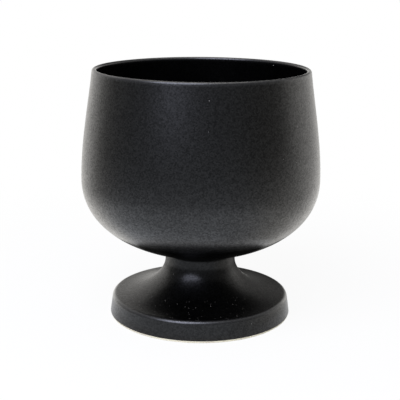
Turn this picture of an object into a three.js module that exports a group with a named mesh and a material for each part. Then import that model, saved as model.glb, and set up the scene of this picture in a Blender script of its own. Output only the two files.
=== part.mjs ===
// Footed bowl in black glazed stoneware: a deep turned bowl luted onto a hollow trumpet pedestal.
// Millimetres, +Z up, the origin on the ground under the middle of the foot.
// Outside sizes are finished sizes, measured over the glaze.

import * as THREE from "three";

// Bowl: the eases, drop and reach are the handle lengths of its outline's curves, the lean is in radians.
const rimHeight = 220.6;
const mouthRadius = 92.8;
const lipRadius = 2;
const rimLean = 0.114;
const rimEase = 26;
const bellyRadius = 105;
const bellyHeight = 124.5;
const wallEase = 33;
const shoulderDrop = 48.6;
const bottomHeight = 55.5;
const bottomReach = 45.5;
const bellyWall = 5.5;
const floorWall = 8;

// Pedestal: the eases are the handle lengths of the flare's curve, the slope is in radians. The throat is
// the hollow curve of the neck's top, which starts its drop below the bowl and runs out to the underside.
const footRadius = 81.2;
const footTopRadius = 79.2;
const bandHeight = 18.7;
const edgeRadius = 3.5;
const heelRadius = 1.5;
const shelfSlope = 0.03;
const shelfEase = 26.1;
const flareEase = 13.5;
const neckRadius = 31.3;
const neckLength = 4;
const throatRadius = 7;
const throatDrop = 4.6;
const pedestalWall = 7;
const ringWidth = 9.5;
const wellFillet = 6;

// Glaze, slip and the bare clay at the ground
const glazeThickness = 0.4;
const bareHeight = 2.2;
const slipThickness = 0.8;
const bond = 0.05;

// Facets
const turns = 48;
const shoulderSteps = 8;
const wallSteps = 5;
const lipSteps = 4;
const flareSteps = 7;
const edgeSteps = 2;
const seatSteps = 2;
const throatSteps = 4;

// Depth of the clay under the finished surface, and the radius of the neck's bore
const coat = glazeThickness + bond;
const neckBore = neckRadius - pedestalWall;

const blackGlaze = new THREE.MeshStandardMaterial({ color: 0x1c1c1f, roughness: 0.42, metalness: 0 });
const bareClay = new THREE.MeshStandardMaterial({ color: 0xe6e2d3, roughness: 0.9, metalness: 0 });
const firedSlip = new THREE.MeshStandardMaterial({ color: 0xd8d2c0, roughness: 0.9, metalness: 0 });

function point(radius, height) {
  return new THREE.Vector2(radius, height);
}

// Evenly spaced values, both ends included.
function spread(from, to, steps) {
  return Array.from({ length: steps + 1 }, (_, step) => from + ((to - from) * step) / steps);
}

// The direction of travel along a cubic curve at t, from the curve that the differences of its points make.
function travelAt(curve, t) {
  const { v0, v1, v2, v3 } = curve;
  const legs = [v1.clone().sub(v0), v2.clone().sub(v1), v3.clone().sub(v2)];
  return new THREE.QuadraticBezierCurve(...legs).getPoint(t).normalize();
}

// The point of a cubic curve at t, moved to the left of travel by a depth.
function beside(curve, t, depth) {
  const place = curve.getPoint(t);
  const travel = travelAt(curve, t);
  return point(place.x - travel.y * depth, place.y + travel.x * depth);
}

function arc(centre, radius, from, to, steps) {
  return spread(from, to, steps).map((angle) =>
    point(centre.x + radius * Math.cos(angle), centre.y + radius * Math.sin(angle)),
  );
}

function lowered(line, drop) {
  return line.map((place) => point(place.x, place.y - drop));
}

// A solid of revolution about +Z. Its outline runs out and up the outside, then back along the inside.
function turned(name, outline, material) {
  const geometry = new THREE.LatheGeometry(outline, turns);
  geometry.rotateX(Math.PI / 2);
  const mesh = new THREE.Mesh(geometry, material);
  mesh.name = name;
  return mesh;
}

function closed(outline) {
  return [...outline, outline[0].clone()];
}

// Bowl outline: one curve from the axis to the belly, one from the belly to the lip.
const shoulder = new THREE.CubicBezierCurve(
  point(0, bottomHeight),
  point(bottomReach, bottomHeight),
  point(bellyRadius, bellyHeight - shoulderDrop),
  point(bellyRadius, bellyHeight),
);
const lipCentre = point(mouthRadius, rimHeight - lipRadius);
const rim = point(
  lipCentre.x + lipRadius * Math.cos(rimLean),
  lipCentre.y + lipRadius * Math.sin(rimLean),
);
const wall = new THREE.CubicBezierCurve(
  point(bellyRadius, bellyHeight),
  point(bellyRadius, bellyHeight + wallEase),
  point(rim.x + rimEase * Math.sin(rimLean), rim.y - rimEase * Math.cos(rimLean)),
  rim,
);

// The place from low to high where a rising function crosses zero, found by halving.
function crossing(rising, low, high) {
  let from = low;
  let to = high;
  while (to - from > 1e-9) {
    const middle = (from + to) / 2;
    if (rising(middle) < 0) from = middle;
    else to = middle;
  }
  return from;
}

// The shoulder's parameter where its surface at a depth reaches a radius, and its height there.
function shoulderAt(radius, depth) {
  return crossing((t) => beside(shoulder, t, depth).x - radius, 0, 1);
}

function underside(radius, depth) {
  return beside(shoulder, shoulderAt(radius, depth), depth).y;
}

// The throat: a hollow arc round a point outside the neck, from the neck's side to a drop under the bowl.
const throatCentre = point(neckRadius + throatRadius, underside(neckRadius, 0) - throatDrop);

function throatPoint(angle, depth) {
  const reach = throatRadius + depth;
  return point(throatCentre.x - reach * Math.cos(angle), throatCentre.y + reach * Math.sin(angle));
}

function throatEnd(depth, level, drop) {
  const gap = (angle) => {
    const place = throatPoint(angle, depth);
    return place.y - underside(place.x, level) + drop;
  };
  return crossing(gap, 0, Math.PI / 2);
}

function throat(end, depth) {
  return spread(0, end, throatSteps).map((angle) => throatPoint(angle, depth));
}

// Where the neck seats on the underside, from its bore to the end of its throat, and the crease beside it.
const seatDrop = slipThickness + 2 * bond;
const throatClay = throat(throatEnd(coat, coat, seatDrop), coat);
const seatReach = throatClay.at(-1).x;
const seatStops = spread(neckBore, seatReach, seatSteps).map((radius) => shoulderAt(radius, coat));
const crease = seatStops.at(-1);
const seat = seatStops.map((t) => beside(shoulder, t, coat));

// Finished wall thickness, easing from the floor to the belly and from the belly to the lip.
function easeWall(from, to, t) {
  return THREE.MathUtils.lerp(from, to, THREE.MathUtils.smoothstep(t, 0, 1));
}

// The outside from the crease to the lip, at a depth under the finished surface.
function bowlOutside(depth) {
  const lower = spread(crease, 1, shoulderSteps).map((t) => beside(shoulder, t, depth));
  const upper = spread(0, 1, wallSteps).map((t) => beside(wall, t, depth));
  return [...lower, ...upper.slice(1)];
}

// The inside from the lip to the middle of the floor, at a depth under the finished surface.
function bowlInside(depth) {
  const upper = spread(1, 0, wallSteps).map((t) =>
    beside(wall, t, easeWall(bellyWall, 2 * lipRadius, t) - depth),
  );
  const lower = spread(1, 0, shoulderSteps).map((t) =>
    beside(shoulder, t, easeWall(floorWall, bellyWall, t) - depth),
  );
  return [...upper, ...lower.slice(1)];
}

function lip(depth) {
  return arc(lipCentre, lipRadius - depth, rimLean, rimLean + Math.PI, lipSteps);
}

function bowlBody() {
  const middle = beside(shoulder, 0, coat);
  const outside = [middle, ...seat.slice(0, -1), ...bowlOutside(coat), ...lip(coat).slice(1, -1)];
  return turned("bowl_body", [...outside, ...bowlInside(coat)], bareClay);
}

// The outer coat starts in the crease over the neck and runs over the lip.
function bowlGlazeOutside() {
  const skin = (depth) => [...bowlOutside(depth), ...lip(depth).slice(1)];
  const outline = [...skin(0), ...skin(glazeThickness).reverse()];
  return turned("bowl_glaze_outside", closed(outline), blackGlaze);
}

// The inner coat starts where the outer one ends inside the lip, and covers the floor.
function bowlGlazeInside() {
  const skin = (depth) => {
    const [top, ...rest] = bowlInside(depth);
    return [...lowered([top], bond), ...rest];
  };
  return turned("bowl_glaze_inside", [...skin(glazeThickness).reverse(), ...skin(0)], blackGlaze);
}

// A flat ring of slip that follows the underside, scraped back a little from the neck's face.
function lutingSlip() {
  const ring = [...seat.slice(0, -1), point(seat.at(-1).x - bond, seat.at(-1).y)];
  const outline = [...lowered(ring, bond + slipThickness), ...lowered(ring, bond).reverse()];
  return turned("luting_slip", closed(outline), firedSlip);
}

// Pedestal outline: the upright band, its rounded edge, then the shelf that sweeps up into the neck.
const edgeCentre = point(footTopRadius - edgeRadius, bandHeight - edgeRadius);
const bandLean = Math.atan2(footRadius - footTopRadius, edgeCentre.y - heelRadius);
const shelfStart = point(
  edgeCentre.x + edgeRadius * Math.sin(shelfSlope),
  edgeCentre.y + edgeRadius * Math.cos(shelfSlope),
);
const neckFoot = point(neckRadius, throatCentre.y - neckLength);
const flare = new THREE.CubicBezierCurve(
  shelfStart,
  point(shelfStart.x - shelfEase * Math.cos(shelfSlope), shelfStart.y + shelfEase * Math.sin(shelfSlope)),
  point(neckFoot.x, neckFoot.y - flareEase),
  neckFoot,
);

function edge(depth) {
  return arc(edgeCentre, edgeRadius - depth, bandLean, Math.PI / 2 - shelfSlope, edgeSteps);
}

function sweep(depth) {
  return spread(0, 1, flareSteps).map((t) => beside(flare, t, depth));
}

// The slanting face of the band at a height.
function bandAt(height, depth) {
  const top = edge(depth)[0];
  return point(top.x + (top.y - height) * Math.tan(bandLean), height);
}

// Hollow from below: the foot stands on a flat ring, and the well narrows up into the neck's bore.
function pedestalBody() {
  const heelTop = bandAt(heelRadius, coat);
  const heel = arc(point(heelTop.x - heelRadius, heelRadius), heelRadius, -Math.PI / 2, 0, edgeSteps);
  const outside = [...heel, ...edge(coat), ...sweep(coat).slice(1), ...throatClay.slice(0, -1)];
  const top = lowered(seat, seatDrop).reverse();
  const ringInside = footRadius - ringWidth;
  const filletStart = ringInside - wellFillet;
  const well = sweep(pedestalWall).reverse().filter((place) => place.x < filletStart);
  const ceiling = well.at(-1).y;
  const fillet = arc(point(filletStart, ceiling - wellFillet), wellFillet, Math.PI / 2, 0, edgeSteps);
  const outline = [...outside, ...top, ...well, ...fillet, point(ringInside, 0)];
  return turned("pedestal_body", closed(outline), bareClay);
}

// The pedestal's coat starts above the bare clay at the ground and ends against the bowl's coat.
function pedestalGlaze() {
  const skin = (depth, end) => [
    bandAt(bareHeight, depth),
    ...edge(depth),
    ...sweep(depth).slice(1),
    ...throat(end, depth),
  ];
  const innerEnd = Math.acos((throatCentre.x - seatReach) / (throatRadius + glazeThickness));
  const inner = [...skin(glazeThickness, innerEnd), point(seatReach, underside(seatReach, 0) - bond)];
  const outline = [...skin(0, throatEnd(0, 0, bond)), ...inner.reverse()];
  return turned("pedestal_glaze", closed(outline), blackGlaze);
}

const bowl = new THREE.Group();
bowl.add(bowlBody(), bowlGlazeOutside(), bowlGlazeInside());

const pedestal = new THREE.Group();
pedestal.add(pedestalBody(), pedestalGlaze(), lutingSlip());

const footedBowl = new THREE.Group();
footedBowl.add(bowl, pedestal);

export default footedBowl;
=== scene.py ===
import math
import bpy
import numpy as np
from mathutils import Euler, Matrix, Vector


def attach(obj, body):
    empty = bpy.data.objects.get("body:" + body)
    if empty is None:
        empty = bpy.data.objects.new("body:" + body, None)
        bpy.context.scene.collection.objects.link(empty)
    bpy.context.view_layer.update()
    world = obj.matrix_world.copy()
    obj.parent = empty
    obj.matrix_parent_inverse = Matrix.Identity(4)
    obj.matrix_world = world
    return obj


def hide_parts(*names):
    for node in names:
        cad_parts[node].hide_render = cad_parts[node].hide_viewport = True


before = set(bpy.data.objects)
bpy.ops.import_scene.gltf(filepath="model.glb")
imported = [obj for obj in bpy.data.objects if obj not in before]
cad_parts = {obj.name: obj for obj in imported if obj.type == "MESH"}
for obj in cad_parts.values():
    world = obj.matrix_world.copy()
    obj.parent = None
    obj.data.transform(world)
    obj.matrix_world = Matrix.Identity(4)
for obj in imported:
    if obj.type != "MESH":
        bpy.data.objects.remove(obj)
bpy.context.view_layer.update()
scene = bpy.context.scene
scene.view_settings.view_transform = "Standard"
print("frame loaded:", ", ".join(sorted(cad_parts)))


# Shader maths: a Wire is one output socket, and an expression on wires adds the Math nodes it needs
class Wire:
    def __init__(self, socket):
        self.socket = socket
        self.tree = socket.id_data

    # any node: its type, the settings that come first, then the values or wires of its sockets
    def node(self, kind, settings=None, sockets=None, out=0):
        made = self.tree.nodes.new(kind)
        for name, value in (settings or {}).items():
            setattr(made, name, value)
        for name, value in (sockets or {}).items():
            if isinstance(value, Wire):
                self.tree.links.new(value.socket, made.inputs[name])
            else:
                made.inputs[name].default_value = value
        return Wire(made.outputs[out])

    # one Math node on two values
    def maths(self, operation, first, second):
        return self.node("ShaderNodeMath", {"operation": operation}, {0: first, 1: second})

    def __add__(self, other):
        return self.maths("ADD", self, other)

    def __sub__(self, other):
        return self.maths("SUBTRACT", self, other)

    def __rsub__(self, other):
        return self.maths("SUBTRACT", other, self)

    def __mul__(self, other):
        return self.maths("MULTIPLY", self, other)

    __radd__ = __add__
    __rmul__ = __mul__

    # 0 below low, 1 above high, eased between; low may be the larger one
    def ease(self, low, high):
        values = {"Value": self, "From Min": low, "From Max": high}
        return self.node("ShaderNodeMapRange", {"interpolation_type": "SMOOTHSTEP"}, values)

    # a colour between two others, with this wire as the share of the second
    def tint(self, first, second):
        return self.node("ShaderNodeMix", {"data_type": "RGBA"}, {0: self, 6: first, 7: second}, 2)

    # a vector scaled by three factors
    def stretch(self, factors):
        return self.node("ShaderNodeVectorMath", {"operation": "MULTIPLY"}, {0: self, 1: factors})

    # noise about 0.5: the size of its lumps in metres, how far it is detailed and how rough that detail is
    def noise(self, size, detail, roughness):
        values = {"Vector": self, "Scale": 1 / size, "Detail": detail, "Roughness": roughness}
        return self.node("ShaderNodeTexNoise", None, values)

    # cells about cell metres wide: by out, each cell's own colour or the distance from its point
    def cells(self, cell, out):
        return self.node("ShaderNodeTexVoronoi", None, {"Vector": self, "Scale": 1 / cell}, out)

    # an even draw from 0 to 1 for each cell
    def draws(self, cell):
        return self.node("ShaderNodeSeparateColor", None, {0: self.cells(cell, "Color")})

    # round specks: a share of the cells has one at its point, full in the core and gone at the radius
    def specks(self, cell, radius, share, core=0.55, step=0.001):
        chosen = self.draws(cell).ease(1 - share, 1 - share + step)
        return self.cells(cell, "Distance").ease(radius / cell, core * radius / cell) * chosen

    # a normal that follows this height
    def bump(self, strength, depth):
        return self.node("ShaderNodeBump", None, {"Height": self, "Strength": strength, "Distance": depth})

    # a value that the mesh carries for each of its points
    def mark(self, name):
        return self.node("ShaderNodeAttribute", {"attribute_name": name}, None, "Fac")

    # 1 for one kind of ray, 0 for the others
    def ray(self, kind):
        return self.node("ShaderNodeLightPath", None, None, kind)


# a new material's output and its Object coordinates
def freshMaterial(name):
    material = bpy.data.materials.new(name)
    material.use_nodes = True
    nodes = material.node_tree.nodes
    nodes.clear()
    output = nodes.new("ShaderNodeOutputMaterial")
    place = Wire(nodes.new("ShaderNodeTexCoord").outputs["Object"])
    return material, output, place


# a shader as the surface of an output
def showSurface(output, wire):
    wire.tree.links.new(wire.socket, output.inputs["Surface"])


# Glaze: a near-black base under a satin sheen that fine crystals break up; thinner and paler on the edges,
# partly a painted highlight there, without reflection as painted shade under the bowl, in the throat and
# inside, with a few specks. Each noise has a size, a detail and a roughness.
glazeLook = {
    "deep": (0.0001, 0.0001, 0.0001, 1),
    "worn": (0.0018, 0.0018, 0.0018, 1),
    "thinAndHighlight": (0.022, 0.0218, 0.0216, 1),
    "dust": (0.20, 0.185, 0.165, 1),
    "speck": (0.32, 0.31, 0.285, 1),
    "baseIor": 1.2,
    "sheenIor": 1.5,
    "roughness": 0.29,
    "roughnessSpread": 0.10,
    "edgeRough": 0.03,
    "sheenLow": 0.42,
    "sheenSpread": 0.74,
    "edgeSheen": 0.42,
    "shadeDull": 0.84,
    "shadeSpread": 0.2,
    "thinAndHighlightEven": 0.55,
    "crystalCell": 0.0010,
    "cloud": (0.05, 2, 0.5),
    "cloudBloom": (0.38, 0.72),
    "mottle": (0.0032, 3, 0.6),
    "mottleBloom": (0.46, 0.74),
    "mottleShare": 0.6,
    "grain": (0.0009, 1, 0.5),
    "dustCell": 0.0027,
    "dustRadius": 0.0004,
    "dustShare": 0.65,
    "speckCell": 0.010,
    "speckRadius": 0.00036,
    "speckShare": 0.45,
    "grainBump": 0.6,
    "mottleBump": 0.4,
    "speckBump": 1.5,
    "bumpStrength": 0.35,
    "bumpDepth": 0.00004,
}

# the foot's glaze came out drier
footLook = {
    **glazeLook,
    "thinAndHighlight": (0.028, 0.0277, 0.0274, 1),
    "sheenLow": 0.36,
    "sheenSpread": 0.46,
    "edgeSheen": 0.75,
    "shadeDull": 0.40,
    "speckCell": 0.0075,
    "speckShare": 0.15,
}


# a coated base, its coat broken up by the crystals, mixed with an uncoated one that gives no reflection, by
# the share of painted shade under the bowl, in the throat and inside
def blackGlaze(name, look):
    material, output, place = freshMaterial(name)
    cloud = place.noise(*look["cloud"])
    mottle = place.noise(*look["mottle"])
    grain = place.noise(*look["grain"])
    crystal = place.draws(look["crystalCell"])
    thinAndHighlight = place.mark("thinGlazeAndHighlight")
    shaded = place.mark("paintedShade")
    dust = place.specks(look["dustCell"], look["dustRadius"], look["dustShare"])
    dust = dust * place.mark("settledDust")
    speck = place.specks(look["speckCell"], look["speckRadius"], look["speckShare"])

    bloom = mottle.ease(*look["mottleBloom"]) * look["mottleShare"]
    bloom = bloom + cloud.ease(*look["cloudBloom"]) * (1 - look["mottleShare"])
    colour = bloom.tint(look["deep"], look["worn"])
    # the paler colour on the lip and the foot's edge is partly glaze drawn thinner and partly a painted
    # highlight
    colour = (thinAndHighlight * (look["thinAndHighlightEven"] + (1 - look["thinAndHighlightEven"]) * mottle)).tint(colour, look["thinAndHighlight"])
    colour = dust.tint(colour, look["dust"])
    colour = speck.tint(colour, look["speck"])
    spread = (mottle + cloud - 1) * look["roughnessSpread"]
    roughness = look["roughness"] + spread + thinAndHighlight * look["edgeRough"]
    sheen = look["sheenLow"] + crystal * look["sheenSpread"] + thinAndHighlight * look["edgeSheen"]
    height = grain * look["grainBump"] + mottle * look["mottleBump"] + speck * look["speckBump"]
    normal = height.bump(look["bumpStrength"], look["bumpDepth"])

    values = {
        "Base Color": colour,
        "Roughness": roughness,
        "IOR": look["baseIor"],
        "Normal": normal,
        "Coat Weight": sheen,
        "Coat Roughness": look["roughness"],
        "Coat IOR": look["sheenIor"],
    }
    glossy = place.node("ShaderNodeBsdfPrincipled", None, values)
    values = {"Base Color": colour, "Roughness": 1.0, "Specular IOR Level": 0.0, "Normal": normal}
    dull = place.node("ShaderNodeBsdfPrincipled", None, values)
    # painted shade: where this mark is set the reflection fades out, so the underside, the throat and the
    # inside go darker
    share = shaded * (look["shadeDull"] + (mottle - 0.5) * look["shadeSpread"])
    showSurface(output, place.node("ShaderNodeMixShader", None, {0: share, 1: glossy, 2: dull}))
    return material


# Bare clay: pale fired stoneware with fine grog, turning marks and a toasted line beside the glaze
clayLook = {
    "pale": (0.85, 0.81, 0.60, 1),
    "warm": (0.66, 0.60, 0.48, 1),
    "toast": (0.42, 0.27, 0.16, 1),
    "grog": (0.30, 0.24, 0.18, 1),
    "ior": 1.45,
    "roughness": 0.86,
    "roughnessSpread": 0.12,
    "grain": (0.0011, 3, 0.65),
    "grainWarm": 0.3,
    "cloud": (0.02, 3, 0.5),
    "cloudBloom": (0.3, 0.75),
    "cloudWarm": 0.6,
    "toastEven": 0.4,
    "rings": (0.0016, 2, 0.5),
    "ringStretch": (0.06, 0.06, 1.0),
    "grogCell": 0.0028,
    "grogEdge": (0.13, 0.06),  # in cells: gone, full
    "grogBloom": (0.45, 0.6),
    "grogShare": 0.7,
    "grainBump": 0.6,
    "ringBump": 0.6,
    "grogBump": 0.4,
    "bumpStrength": 0.6,
    "bumpDepth": 0.00012,
}


# a rough base from pale to warm by its clouds and grain, with the toasted line and the grog over it
def bareClay(look):
    material, output, place = freshMaterial("bareClay")
    cloud = place.noise(*look["cloud"])
    grain = place.noise(*look["grain"])
    rings = place.stretch(look["ringStretch"]).noise(*look["rings"])
    grog = place.cells(look["grogCell"], "Distance").ease(*look["grogEdge"])
    grog = grog * cloud.ease(*look["grogBloom"])

    warmth = cloud.ease(*look["cloudBloom"]) * look["cloudWarm"] + grain * look["grainWarm"]
    toasted = place.mark("toast") * (look["toastEven"] + (1 - look["toastEven"]) * grain)
    colour = warmth.tint(look["pale"], look["warm"])
    colour = toasted.tint(colour, look["toast"])
    colour = (grog * look["grogShare"]).tint(colour, look["grog"])
    height = grain * look["grainBump"] + rings * look["ringBump"] - grog * look["grogBump"]
    values = {
        "Base Color": colour,
        "Roughness": look["roughness"] + (grain - 0.5) * look["roughnessSpread"],
        "IOR": look["ior"],
        "Normal": height.bump(look["bumpStrength"], look["bumpDepth"]),
    }
    showSurface(output, place.node("ShaderNodeBsdfPrincipled", None, values))
    return material


# Fired slip: the same clay, wetter and finer, with brushed lumps where it was squeezed out
slipLook = {
    "pale": (0.70, 0.65, 0.54, 1),
    "dark": (0.52, 0.45, 0.34, 1),
    "ior": 1.45,
    "roughness": 0.8,
    "roughnessSpread": 0.15,
    "lump": (0.0022, 2, 0.5),
    "lumpBloom": (0.3, 0.7),
    "grain": (0.0006, 2, 0.5),
    "lumpBump": 0.8,
    "grainBump": 0.2,
    "bumpStrength": 0.7,
    "bumpDepth": 0.0003,
}


# a rough base from pale to dark by its lumps
def firedSlip(look):
    material, output, place = freshMaterial("firedSlip")
    lump = place.noise(*look["lump"])
    grain = place.noise(*look["grain"])
    height = lump * look["lumpBump"] + grain * look["grainBump"]
    values = {
        "Base Color": lump.ease(*look["lumpBloom"]).tint(look["pale"], look["dark"]),
        "Roughness": look["roughness"] + grain * look["roughnessSpread"],
        "IOR": look["ior"],
        "Normal": height.bump(look["bumpStrength"], look["bumpDepth"]),
    }
    showSurface(output, place.node("ShaderNodeBsdfPrincipled", None, values))
    return material


# Outlines: a curve is four points of (radius, height), each pulled by its cubic share as t runs along it
def curvePoints(curve, t):
    s = 1 - t
    shares = np.stack([s**3, 3 * s * s * t, 3 * s * t * t, t**3], 1)
    return shares @ curve


# the curve moved to the left of travel by a depth, which may change along it
def beside(curve, t, depth):
    legs = np.diff(curve, axis=0)
    s = 1 - t
    travel = np.stack([s * s, 2 * s * t, t * t], 1) @ legs
    travel /= np.linalg.norm(travel, axis=1)[:, None]
    left = np.stack([-travel[:, 1], travel[:, 0]], 1)
    return curvePoints(curve, t) + left * np.broadcast_to(depth, t.shape)[:, None]


# points of a circle about a centre, from one angle to another
def arcPoints(centre, radius, start, end, steps):
    angle = np.linspace(start, end, steps + 1)
    return np.asarray(centre) + radius * np.stack([np.cos(angle), np.sin(angle)], 1)


# 0 below low, 1 above high, eased between
def smooth(value, low, high):
    x = np.clip((value - low) / (high - low), 0, 1)
    return x * x * (3 - 2 * x)


# Handwork: the rim is a little out of round and dips a little, always inwards of the true form
handwork = {
    "oval": 0.00016,
    "ovalTurn": 0.7,
    "lobes": 0.00008,
    "lobesTurn": 2.2,
    "dip": 0.00008,
    "dipTurn": 1.9,
    "ripple": 0.00004,
    "rippleTurn": 0.5,
    "margin": 0.00006,
    "lipDepth": 0.02,
    "trueRadius": 0.03,
}


# radius and height as the hand left them: less by slow waves, two, three or five round the rim, which fade
# out down the wall
def handMade(radius, height, angle):
    hand = handwork
    rimShare = smooth(height, bowl["bellyHeight"], bowl["rimHeight"])
    lipShare = smooth(height, bowl["rimHeight"] - hand["lipDepth"], bowl["rimHeight"])
    outOfRound = hand["oval"] * (1 + np.cos(2 * angle + hand["ovalTurn"]))
    outOfRound = outOfRound + hand["lobes"] * (1 + np.cos(3 * angle + hand["lobesTurn"]))
    dip = hand["dip"] * (1 + np.cos(2 * angle + hand["dipTurn"]))
    dip = dip + hand["ripple"] * (1 + np.cos(5 * angle + hand["rippleTurn"]))
    nearAxis = np.minimum(radius / hand["trueRadius"], 1)
    inwards = nearAxis * (hand["margin"] + outOfRound * rimShare)
    return radius - inwards, height - lipShare * (hand["margin"] + dip)


turnedColumns = 256
onAxis = 1e-9
sharpFrom = math.radians(40)


# the faces of a grid that closes round its columns; its ends close in two poles, or else on each other
def turnedFaces(rowCount, poles):
    upper = np.arange(rowCount - 1 if poles else rowCount)
    around = np.arange(turnedColumns)
    row, column = np.meshgrid(upper, around, indexing="ij")
    near = row * turnedColumns
    far = (row + 1) % rowCount * turnedColumns
    after = (column + 1) % turnedColumns
    quads = np.stack([near + column, near + after, far + after, far + column], 2).reshape(-1, 4)
    if not poles:
        return quads.ravel(), np.full(len(quads), 4)
    after = (around + 1) % turnedColumns
    last = (rowCount - 1) * turnedColumns
    pole = np.full(turnedColumns, rowCount * turnedColumns)
    start = np.stack([pole, after, around], 1)
    end = np.stack([pole + 1, last + around, last + after], 1)
    loops = np.concatenate([quads.ravel(), start.ravel(), end.ravel()])
    return loops, np.repeat([4, 3], [len(quads), 2 * turnedColumns])


# A turned piece: its outline of (radius, height) carried round +Z as a grid of rows and columns.
# An outline whose ends are on the axis closes in two poles, any other closes on itself.
# Each mark is one value for each point of the outline, the same all round.
def turned(name, outline, marks, material):
    poles = outline[0, 0] < onAxis and outline[-1, 0] < onAxis
    inner = slice(1, -1) if poles else slice(None)
    rows = outline[inner]
    angle = np.arange(turnedColumns) * (2 * np.pi / turnedColumns)
    radius, height = handMade(rows[:, :1], rows[:, 1:], angle[None])
    points = np.stack([radius * np.cos(angle), radius * np.sin(angle), height], 2).reshape(-1, 3)
    if poles:
        points = np.concatenate([points, np.stack([np.zeros(2), np.zeros(2), outline[[0, -1], 1]], 1)])
    loops, sizes = turnedFaces(len(rows), poles)

    mesh = bpy.data.meshes.new(name)
    mesh.vertices.add(len(points))
    mesh.vertices.foreach_set("co", points.astype(np.float32).ravel())
    mesh.loops.add(len(loops))
    mesh.loops.foreach_set("vertex_index", loops.astype(np.int32))
    mesh.polygons.add(len(sizes))
    mesh.polygons.foreach_set("loop_start", (np.cumsum(sizes) - sizes).astype(np.int32))
    mesh.polygons.foreach_set("use_smooth", np.ones(len(sizes), bool))
    mesh.update(calc_edges=True)
    mesh.validate()
    mesh.set_sharp_from_angle(angle=sharpFrom)
    for mark, values in marks.items():
        spread = np.repeat(values[inner], turnedColumns)
        spread = np.concatenate([spread, values[[0, -1]]]) if poles else spread
        mesh.attributes.new(mark, "FLOAT", "POINT").data.foreach_set("value", spread.astype(np.float32))
    mesh.materials.append(material)
    piece = bpy.data.objects.new(name, mesh)
    scene.collection.objects.link(piece)
    print(f"{name}: {len(points)} points, {int((sizes - 2).sum())} triangles")
    return piece


# Bowl: the outside is one curve from the axis to the belly and one from the belly to the lip
bowl = {
    "rimHeight": 0.2206,
    "mouthRadius": 0.0928,
    "lipRadius": 0.002,
    "rimLean": 0.114,
    "rimEase": 0.026,
    "bellyRadius": 0.105,
    "bellyHeight": 0.1245,
    "wallEase": 0.033,
    "shoulderDrop": 0.0486,
    "bottomHeight": 0.0555,
    "bottomReach": 0.0455,
    "bellyWall": 0.0055,
    "floorWall": 0.008,
    "shoulderSteps": 64,
    "wallSteps": 40,
    "lipSteps": 20,
}

# Pedestal: the upright band, its rounded edge, the shelf that sweeps up into the neck, then the hollow
# throat, which starts its drop below the bowl and runs out to the underside
pedestal = {
    "footRadius": 0.0812,
    "footTopRadius": 0.0792,
    "bandHeight": 0.0187,
    "edgeRadius": 0.0035,
    "heelRadius": 0.0015,
    "shelfSlope": 0.03,
    "shelfEase": 0.0261,
    "flareEase": 0.0135,
    "neckRadius": 0.0313,
    "neckLength": 0.004,
    "throatRadius": 0.007,
    "throatDrop": 0.0046,
    "pedestalWall": 0.007,
    "ringWidth": 0.0095,
    "wellFillet": 0.006,
    "flareSteps": 56,
    "throatSteps": 20,
    "edgeSteps": 12,
    "bandSteps": 12,
    "seatSteps": 11,
}

# Coats: glaze, slip and the bare clay at the ground
coats = {
    "glazeThickness": 0.0004,
    "bareHeight": 0.0022,
    "slipThickness": 0.0008,
    "bond": 0.00005,
}
coat = coats["glazeThickness"] + coats["bond"]

shoulder = np.array(
    [
        (0, bowl["bottomHeight"]),
        (bowl["bottomReach"], bowl["bottomHeight"]),
        (bowl["bellyRadius"], bowl["bellyHeight"] - bowl["shoulderDrop"]),
        (bowl["bellyRadius"], bowl["bellyHeight"]),
    ]
)
lipCentre = np.array((bowl["mouthRadius"], bowl["rimHeight"] - bowl["lipRadius"]))
rimOut = np.array((math.cos(bowl["rimLean"]), math.sin(bowl["rimLean"])))
rimDown = np.array((math.sin(bowl["rimLean"]), -math.cos(bowl["rimLean"])))
rim = lipCentre + bowl["lipRadius"] * rimOut
wall = np.array(
    [
        (bowl["bellyRadius"], bowl["bellyHeight"]),
        (bowl["bellyRadius"], bowl["bellyHeight"] + bowl["wallEase"]),
        rim + bowl["rimEase"] * rimDown,
        rim,
    ]
)
fineSteps = 4000
fineT = np.linspace(0, 1, fineSteps + 1)


# height of the underside at some radii, at a depth under the finished surface
def underside(radius, depth):
    return np.interp(radius, *beside(shoulder, fineT, depth).T)


throatCentre = np.array(
    (
        pedestal["neckRadius"] + pedestal["throatRadius"],
        underside(pedestal["neckRadius"], 0) - pedestal["throatDrop"],
    )
)


# the throat: an arc round a point outside the neck, from the neck's side at angle 0 up to the underside
def throat(end, depth, steps=pedestal["throatSteps"]):
    angle = np.linspace(0, end, steps + 1)
    reach = pedestal["throatRadius"] + depth
    return throatCentre + reach * np.stack([-np.cos(angle), np.sin(angle)], 1)


# the angle where the throat reaches a drop below the underside
def throatEnd(depth, level, drop):
    line = throat(math.pi / 2, depth, fineSteps)
    gap = line[:, 1] - underside(line[:, 0], level) + drop
    return np.interp(0, gap, fineT * math.pi / 2)


# where the neck seats on the underside: the shoulder's t at the radii of the bore and of the throat's end
seatDrop = coats["slipThickness"] + 2 * coats["bond"]
throatClay = throat(throatEnd(coat, coat, seatDrop), coat)
seatReach = throatClay[-1, 0]
boreReach = pedestal["neckRadius"] - pedestal["pedestalWall"]
boreT, creaseT = np.interp([boreReach, seatReach], beside(shoulder, fineT, coat)[:, 0], fineT)
seat = beside(shoulder, np.linspace(boreT, creaseT, pedestal["seatSteps"] + 1), coat)


# the outside from the crease to the lip, at a depth under the finished surface
def bowlOutside(depth):
    lower = beside(shoulder, np.linspace(creaseT, 1, bowl["shoulderSteps"] + 1), depth)
    upper = beside(wall, np.linspace(0, 1, bowl["wallSteps"] + 1), depth)
    return np.concatenate([lower, upper[1:]])


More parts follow.
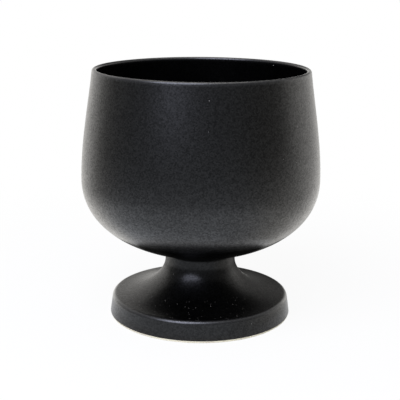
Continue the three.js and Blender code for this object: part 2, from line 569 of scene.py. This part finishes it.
# the inside from the lip to the middle of the floor; the wall eases from lip to belly and on to the floor
def bowlInside(depth):
    t = np.linspace(1, 0, bowl["wallSteps"] + 1)
    thickness = bowl["bellyWall"] + (2 * bowl["lipRadius"] - bowl["bellyWall"]) * smooth(t, 0, 1)
    upper = beside(wall, t, thickness - depth)
    t = np.linspace(1, 0, bowl["shoulderSteps"] + 1)
    thickness = bowl["floorWall"] + (bowl["bellyWall"] - bowl["floorWall"]) * smooth(t, 0, 1)
    lower = beside(shoulder, t, thickness - depth)
    return np.concatenate([upper, lower[1:]])


# the lip: half a circle over the crown, from the outside to the inside
def lipArc(depth):
    start = bowl["rimLean"]
    return arcPoints(lipCentre, bowl["lipRadius"] - depth, start, start + math.pi, bowl["lipSteps"])


# Flow: where the glaze thinned, with a painted highlight, where painted shade takes its reflection away,
# where dust lies and where the clay toasted, in metres and shares
flow = {
    "lipThinHighlightFrom": 0.0032,
    "lipThinHighlightFull": 0.0002,
    "edgeInset": 0.0009,
    "edgeThinHighlightFull": 0.0002,
    "edgeThinHighlightEnd": 0.0028,
    "edgeThinHighlightShare": 0.8,
    "underShadeFull": 0.078,
    "underShadeEnd": 0.087,
    "throatShadeFrom": 0.039,
    "throatShadeFull": 0.047,
    "insideShade": 0.62,
    "floorDustShare": 0.5,
    "floorDustFull": 0.04,
    "floorDustEnd": 0.06,
    "shelfDustFrom": (0.046, 0.056),
    "shelfDustEnd": (0.0755, 0.0775),
    "toastFull": 0.0001,
    "toastEnd": 0.0007,
    "toastReach": 0.003,
}


# glaze drawn thinner and paler on the lip, partly a painted highlight: from none at a depth below the rim
# to full at its crown
def thinLipAndHighlight(outline):
    top = bowl["rimHeight"]
    return smooth(outline[:, 1], top - flow["lipThinHighlightFrom"], top - flow["lipThinHighlightFull"])


# glaze drawn thinner and paler on the foot's edge, partly a painted highlight: less with the distance from
# a point just inside it
def thinFootEdgeAndHighlight(outline):
    corner = np.array((pedestal["footTopRadius"], pedestal["bandHeight"])) - flow["edgeInset"]
    away = np.hypot(*(outline - corner).T)
    return flow["edgeThinHighlightShare"] * (1 - smooth(away, flow["edgeThinHighlightFull"], flow["edgeThinHighlightEnd"]))


# painted shade under the bowl, with the reflection taken away: full out to a radius, and gone on the belly
def shadeUnder(outline):
    return 1 - smooth(outline[:, 0], flow["underShadeFull"], flow["underShadeEnd"])


# painted shade in the throat under the bowl, with the reflection taken away: none on the flare, and full
# above a height on the neck
def shadeInThroat(outline):
    return smooth(outline[:, 1], flow["throatShadeFrom"], flow["throatShadeFull"])


# dust on the floor of the bowl: a share in the middle, and none further out
def settledInside(outline):
    away = smooth(outline[:, 0], flow["floorDustFull"], flow["floorDustEnd"])
    return flow["floorDustShare"] * (1 - away)


# dust on the shelf of the foot: full between two radii, with soft ends
def settledOnShelf(outline):
    reach = outline[:, 0]
    return smooth(reach, *flow["shelfDustFrom"]) * (1 - smooth(reach, *flow["shelfDustEnd"]))


# toasted clay: a line round the outside at the height where the foot's glaze ends
def toastedLine(outline):
    away = np.abs(outline[:, 1] - coats["bareHeight"])
    toast = 1 - smooth(away, flow["toastFull"], flow["toastEnd"])
    return toast * (outline[:, 0] > pedestal["footRadius"] - flow["toastReach"])


# one face of the outer coat, over the lip
def outerSkin(depth):
    return np.concatenate([bowlOutside(depth), lipArc(depth)[1:]])


# one face of the inner coat, which stops a bond below the outer one
def innerSkin(depth):
    line = bowlInside(depth)
    line[0, 1] -= coats["bond"]
    return line


# the clay from the middle of the underside over the lip to the middle of the floor, then its two coats
def makeBowl(glaze, clay):
    middle = beside(shoulder, np.array([0.0]), coat)
    body = np.concatenate([middle, seat[:-1], bowlOutside(coat), lipArc(coat)[1:-1], bowlInside(coat)])
    clayPiece = turned("bowlClay", body, {"toast": np.zeros(len(body))}, clay)

    outside = np.concatenate([outerSkin(0), outerSkin(coats["glazeThickness"])[::-1]])
    clear = np.zeros(len(outside))
    marks = {"thinGlazeAndHighlight": thinLipAndHighlight(outside), "paintedShade": shadeUnder(outside), "settledDust": clear}
    outsidePiece = turned("bowlGlazeOutside", outside, marks, glaze)

    inside = np.concatenate([innerSkin(coats["glazeThickness"])[::-1], innerSkin(0)])
    thinAndHighlight = thinLipAndHighlight(inside)
    # painted shade inside the bowl: less reflection everywhere but on the lip
    dull = flow["insideShade"] * (1 - thinAndHighlight)
    marks = {"thinGlazeAndHighlight": thinAndHighlight, "paintedShade": dull, "settledDust": settledInside(inside)}
    insidePiece = turned("bowlGlazeInside", inside, marks, glaze)
    return clayPiece, outsidePiece, insidePiece


edgeCentre = np.array((pedestal["footTopRadius"], pedestal["bandHeight"])) - pedestal["edgeRadius"]
bandLean = math.atan2(
    pedestal["footRadius"] - pedestal["footTopRadius"], edgeCentre[1] - pedestal["heelRadius"]
)
shelfOut = np.array((math.sin(pedestal["shelfSlope"]), math.cos(pedestal["shelfSlope"])))
shelfIn = np.array((-math.cos(pedestal["shelfSlope"]), math.sin(pedestal["shelfSlope"])))
shelfStart = edgeCentre + pedestal["edgeRadius"] * shelfOut
neckFoot = np.array((pedestal["neckRadius"], throatCentre[1] - pedestal["neckLength"]))
flare = np.array(
    [
        shelfStart,
        shelfStart + pedestal["shelfEase"] * shelfIn,
        neckFoot - (0, pedestal["flareEase"]),
        neckFoot,
    ]
)


# the rounded edge: an arc from the band's lean to the shelf's slope
def edgeArc(depth):
    end = math.pi / 2 - pedestal["shelfSlope"]
    return arcPoints(edgeCentre, pedestal["edgeRadius"] - depth, bandLean, end, pedestal["edgeSteps"])


# the shelf and the flare: one curve from the edge to the foot of the neck
def sweep(depth):
    return beside(flare, np.linspace(0, 1, pedestal["flareSteps"] + 1), depth)


# the slanting face of the band from a height up to its rounded edge
def band(height, depth):
    top = edgeArc(depth)[0]
    rise = np.linspace(height, top[1], pedestal["bandSteps"] + 1)[:-1]
    return np.stack([top[0] + (top[1] - rise) * math.tan(bandLean), rise], 1)


# one face of the foot's coat, from the bare clay up to an angle of the throat
def footSkin(depth, end):
    upright = band(coats["bareHeight"], depth)
    return np.concatenate([upright, edgeArc(depth), sweep(depth)[1:], throat(end, depth)])


# the clay from the heel up the outside, over the seat and down the well to the ring, then its coat
def makePedestal(glaze, clay):
    upright = band(pedestal["heelRadius"], coat)
    heelCentre = (upright[0, 0] - pedestal["heelRadius"], pedestal["heelRadius"])
    heel = arcPoints(heelCentre, pedestal["heelRadius"], -math.pi / 2, 0, pedestal["edgeSteps"])
    outside = np.concatenate([heel, upright[1:], edgeArc(coat), sweep(coat)[1:], throatClay[:-1]])
    top = (seat - (0, seatDrop))[::-1]
    ringInside = pedestal["footRadius"] - pedestal["ringWidth"]
    filletStart = ringInside - pedestal["wellFillet"]
    well = sweep(pedestal["pedestalWall"])[::-1]
    well = well[well[:, 0] < filletStart]
    filletCentre = (filletStart, well[-1, 1] - pedestal["wellFillet"])
    fillet = arcPoints(filletCentre, pedestal["wellFillet"], math.pi / 2, 0, pedestal["edgeSteps"])
    body = np.concatenate([outside, top, well, fillet, [(ringInside, 0)]])
    clayPiece = turned("pedestalClay", body, {"toast": toastedLine(body)}, clay)

    innerReach = pedestal["throatRadius"] + coats["glazeThickness"]
    innerEnd = math.acos((throatCentre[0] - seatReach) / innerReach)
    tip = [(seatReach, underside(seatReach, 0) - coats["bond"])]
    inner = np.concatenate([footSkin(coats["glazeThickness"], innerEnd), tip])
    coating = np.concatenate([footSkin(0, throatEnd(0, 0, coats["bond"])), inner[::-1]])
    marks = {
        "thinGlazeAndHighlight": thinFootEdgeAndHighlight(coating),
        "paintedShade": shadeInThroat(coating),
        "settledDust": settledOnShelf(coating),
    }
    glazePiece = turned("pedestalGlaze", coating, marks, glaze)
    return clayPiece, glazePiece


# the ring of slip: the seat of the neck, a bond below the bowl and one slip thick
def makeSlip(slip):
    ring = seat.copy()
    ring[-1, 0] -= coats["bond"]
    lower = ring - (0, coats["bond"] + coats["slipThickness"])
    outline = np.concatenate([lower, (ring - (0, coats["bond"]))[::-1]])
    return turned("lutingSlip", outline, {}, slip)


glaze = blackGlaze("blackGlaze", glazeLook)
footGlaze = blackGlaze("footGlaze", footLook)
clay = bareClay(clayLook)
slip = firedSlip(slipLook)
print("materials made")

bowlClay, bowlGlazeOutside, bowlGlazeInside = makeBowl(glaze, clay)
pedestalClay, pedestalGlaze = makePedestal(footGlaze, clay)
lutingSlip = makeSlip(slip)
standsFor = [
    (bowlClay, "bowl_body", "bare_clay"),
    (bowlGlazeOutside, "bowl_glaze_outside", "black_glaze"),
    (bowlGlazeInside, "bowl_glaze_inside", "black_glaze"),
    (pedestalClay, "pedestal_body", "bare_clay"),
    (pedestalGlaze, "pedestal_glaze", "black_glaze"),
    (lutingSlip, "luting_slip", "fired_slip"),
]
for piece, node, slotName in standsFor:
    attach(piece, "root")
    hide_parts(node)
print("pieces ride on root:", len(standsFor))


# a grid of points joined by quads, as a piece of the stage
def sheet(name, points, material):
    rows, cols = points.shape[:2]
    row, column = np.meshgrid(np.arange(rows - 1), np.arange(cols - 1), indexing="ij")
    corner = row * cols + column
    quads = np.stack([corner, corner + 1, corner + cols + 1, corner + cols], 2).reshape(-1, 4)
    mesh = bpy.data.meshes.new(name)
    mesh.from_pydata(points.reshape(-1, 3).tolist(), [], quads.tolist())
    mesh.materials.append(material)
    piece = bpy.data.objects.new(name, mesh)
    scene.collection.objects.link(piece)
    return piece


# Floor: white, with a light shadow close to the foot
floor = {
    "half": 6.0,
    "colour": (0.92, 0.92, 0.92, 1),
    "white": (1, 1, 1, 1),
    "glowNear": 0.92,
    "glowFar": 1.0,
    "fadeFrom": 0.15,
    "fadeTo": 0.55,
    "glowMirrored": 0.75,
}


# the camera sees mostly the glow, and all of it further out; reflections see a fixed share of it
def makeFloor():
    material, output, place = freshMaterial("paleFloor")
    lit = place.node("ShaderNodeBsdfDiffuse", None, {"Color": floor["colour"]})
    white = place.node("ShaderNodeEmission", None, {"Color": floor["white"], "Strength": 1.0})
    reach = place.node("ShaderNodeVectorMath", {"operation": "LENGTH"}, {0: place}, "Value")
    away = reach.ease(floor["fadeFrom"], floor["fadeTo"])
    seen = floor["glowNear"] + away * (floor["glowFar"] - floor["glowNear"])
    mirrored = (place.ray("Is Glossy Ray") + place.ray("Is Transmission Ray")) * floor["glowMirrored"]
    share = place.ray("Is Camera Ray") * seen + mirrored
    showSurface(output, place.node("ShaderNodeMixShader", None, {0: share, 1: lit, 2: white}))
    side = np.array((-floor["half"], floor["half"]))
    y, x = np.meshgrid(side, side, indexing="ij")
    sheet("floor", np.stack([x, y, np.zeros_like(x)], 2), material)


# Room: the grey walls that the glaze mirrors beyond the floor near the foot; only reflections see it
room = {
    "floorReach": 0.10,
    "floorHeight": 0.003,
    "radius": 2.2,
    "domeFrom": 1,
    "domeTo": 89.5,
    "eyeHeight": 0.12,
    "white": 1.2,
    "fullLight": 2.0,
    "cool": (0.95, 0.99, 1.06, 1),
    "warm": (1.02, 1.0, 0.965, 1),
    "coolTurn": math.radians(-20),
    "coolEase": (0.0, 0.85),
    "ringSteps": 23,
    "riseSteps": 47,
    "turnSteps": 96,
    # level, then in degrees: middle turn from the front to the right, half width, low, high and soft edge
    "greys": [
        (0.95, 0, 400, -10, 120, 20),
        # the next two lie on the floor ring: a painted shadow of the bowl at the front right, then painted
        # light on the floor at the left
        (0.75, 70, 50, -85, -38, 16),
        (1.45, -107, 22, -38, -20, 12),
        (0.355, -11, 104, -12, 120, 24),
        (1.00, 84, 18, -22, -7, 10),
        (0.20, -4, 98, 14, 120, 18),
        (0.31, -78, 26, -7, 14, 20),
        (0.24, 62, 22, -4, 14, 16),
        (0.82, 142, 24, -8, 14, 16),
        (0.44, 118, 30, 14, 120, 16),
        (0.40, 128, 24, 32, 120, 14),
        (0.42, -152, 34, 14, 120, 18),
        (0.62, -142, 20, 34, 120, 14),
        (0.02, 166, 26, 14, 120, 14),
        (0.50, -120, 12, 2, 14, 8),
        (2.00, 0, 400, 64, 120, 16),
    ],
}


# the glow of the room and the card: each point's own level, cool in front on the left and warm behind
def roomMaterial():
    material, output, place = freshMaterial("roomGreys")
    coolWay = (math.sin(room["coolTurn"]), -math.cos(room["coolTurn"]), 0)
    way = place.node("ShaderNodeVectorMath", {"operation": "NORMALIZE"}, {0: place})
    ahead = place.node("ShaderNodeVectorMath", {"operation": "DOT_PRODUCT"}, {0: way, 1: coolWay}, "Value")
    dark = place.node("ShaderNodeEmission", None, {"Color": (0, 0, 0, 1), "Strength": 0.0})
    warm = place.node("ShaderNodeEmission", None, {"Color": room["warm"], "Strength": room["fullLight"]})
    cool = place.node("ShaderNodeEmission", None, {"Color": room["cool"], "Strength": room["fullLight"]})
    full = place.node("ShaderNodeMixShader", None, {0: ahead.ease(*room["coolEase"]), 1: warm, 2: cool})
    showSurface(output, place.node("ShaderNodeMixShader", None, {0: place.mark("glow"), 1: dark, 2: full}))
    return material


# a sheet that only reflections see, with a level for each of its points
def mirroredSheet(name, points, level, material):
    piece = sheet(name, points, material)
    values = (level / room["fullLight"]).astype(np.float32).ravel()
    piece.data.attributes.new("glow", "FLOAT", "POINT").data.foreach_set("value", values)
    piece.visible_camera = False
    piece.visible_diffuse = False
    piece.visible_shadow = False
    piece.visible_transmission = False


# points of a surface turned round +Z, from the front to the right, for columns of reach and height
def roundAbout(reach, height, turn):
    angle = np.radians(turn)
    return np.stack([reach * np.sin(angle), -reach * np.cos(angle), height + 0 * angle], 2)


# 0 below an edge and 1 above it, eased over the soft width about it
def overEdge(value, edge, soft):
    return smooth(value, edge - soft / 2, edge + soft / 2)


# a flat ring just over the floor, then a dome; each point's grey is the last patch that covers it, with
# soft edges
def makeRoom(material):
    turn = np.linspace(-180, 180, room["turnSteps"] + 1)[None]
    rise = np.radians(np.linspace(room["domeFrom"], room["domeTo"], room["riseSteps"] + 1))
    ring = np.linspace(room["floorReach"], room["radius"], room["ringSteps"] + 1)
    reach = np.concatenate([ring, room["radius"] * np.cos(rise)])[:, None]
    height = np.concatenate([0 * ring + room["floorHeight"], room["radius"] * np.sin(rise)])[:, None]
    points = roundAbout(reach, height, turn)

    lift = np.degrees(np.arctan2(height - room["eyeHeight"], reach))
    level = np.full(points.shape[:2], room["white"])
    for grey, middle, half, low, high, soft in room["greys"]:
        off = np.abs((turn - middle + 180) % 360 - 180)
        share = overEdge(lift, low, soft) * (1 - overEdge(lift, high, soft))
        share = share * (1 - overEdge(off, half, soft))
        level = level + share * (grey - level)
    mirroredSheet("roomGreys", points, level, material)


# Card: a low strip close behind the foot that only reflections see; it is a painted shadow, darkest behind
# on the right where the bowl's shadow falls, and lighter towards its ends
card = {
    "reach": 0.11,
    "low": 0.012,
    "high": 0.09,
    "topShare": 0.48,
    "steps": 48,
    # turn in degrees from the front to the right, then the level there
    "levels": [
        (95, 1.30),
        (104, 1.30),
        (112, 0.90),
        (120, 0.52),
        (128, 0.27),
        (136, 0.15),
        (150, 0.13),
        (164, 0.07),
        (190, 0.12),
        (200, 0.54),
        (208, 0.72),
        (224, 0.74),
        (232, 1.04),
        (240, 1.32),
        (262, 1.50),
    ],
}


# an upright strip of a cylinder; its level follows the turn and falls towards the top
def makeCard(material):
    turns, levels = np.array(card["levels"]).T
    turn = np.linspace(turns[0], turns[-1], card["steps"] + 1)[None]
    height = np.array([card["low"], card["high"]])[:, None]
    fall = np.array([1, card["topShare"]])[:, None]
    points = roundAbout(card["reach"] + 0 * height, height, turn)
    mirroredSheet("darkCard", points, np.interp(turn, turns, levels) * fall, material)


makeFloor()
greys = roomMaterial()
makeRoom(greys)
makeCard(greys)
print("stage set")

# Light: a white surround and one soft bluish box of light, high and to the left of the camera
light = {
    "surround": (1, 1, 1, 1),
    "surroundLit": 0.55,
    "boxColour": (0.78, 0.81, 1.0),
    "boxPower": 14.6,
    "boxWidth": 1.00,
    "boxHeight": 1.20,
    "boxDistance": 1.15,
    "boxTurn": math.radians(-27),
    "boxRise": math.radians(45),
    "boxRoll": math.radians(-16),
    "boxAim": (0, 0, 0.11),
}


# the surround shows white, and lights the bowl with a share of that
def makeSurround():
    world = bpy.data.worlds.new("surround")
    world.use_nodes = True
    scene.world = world
    nodes = world.node_tree.nodes
    nodes.clear()
    output = nodes.new("ShaderNodeOutputWorld")
    camera = Wire(nodes.new("ShaderNodeLightPath").outputs["Is Camera Ray"])
    seen = camera + camera.ray("Is Glossy Ray") + camera.ray("Is Transmission Ray")
    strength = light["surroundLit"] + seen * (1 - light["surroundLit"])
    values = {"Color": light["surround"], "Strength": strength}
    showSurface(output, camera.node("ShaderNodeBackground", None, values))


# an ellipse of light that faces its aim, at a turn, a rise and a distance from it
def makeLightBox():
    data = bpy.data.lights.new("lightBox", "AREA")
    data.shape = "ELLIPSE"
    data.energy = light["boxPower"]
    data.color = light["boxColour"]
    data.size = light["boxWidth"]
    data.size_y = light["boxHeight"]
    lamp = bpy.data.objects.new("lightBox", data)
    scene.collection.objects.link(lamp)
    flat = math.cos(light["boxRise"])
    towards = Vector(
        (flat * math.sin(light["boxTurn"]), -flat * math.cos(light["boxTurn"]), math.sin(light["boxRise"]))
    )
    lamp.location = Vector(light["boxAim"]) + towards * light["boxDistance"]
    facing = towards.to_track_quat("Z", "Y").to_matrix() @ Matrix.Rotation(light["boxRoll"], 3, "Z")
    lamp.rotation_euler = facing.to_euler()


makeSurround()
makeLightBox()
print("light set")

# Camera: in front of the bowl and a little above the rim
view = {
    "distance": 0.83475,
    "height": 0.31745,
    "pitch": 0.25111,
    "turn": 0.00067,
    "roll": 0.0083,
    "lens": 87.098,
    "sensor": 36,
}


# it stands at its distance and height and looks down by its pitch, with a slight turn and roll
def makeCamera():
    data = bpy.data.cameras.new("camera")
    data.sensor_width = view["sensor"]
    data.sensor_height = view["sensor"]
    data.lens = view["lens"]
    camera = bpy.data.objects.new("camera", data)
    scene.collection.objects.link(camera)
    aim = Euler((math.pi / 2 - view["pitch"], 0, view["turn"])).to_matrix()
    turn = (aim @ Matrix.Rotation(view["roll"], 3, "Z")).to_4x4()
    camera.matrix_world = Matrix.Translation((0, -view["distance"], view["height"])) @ turn
    scene.camera = camera


makeCamera()
print("camera set")
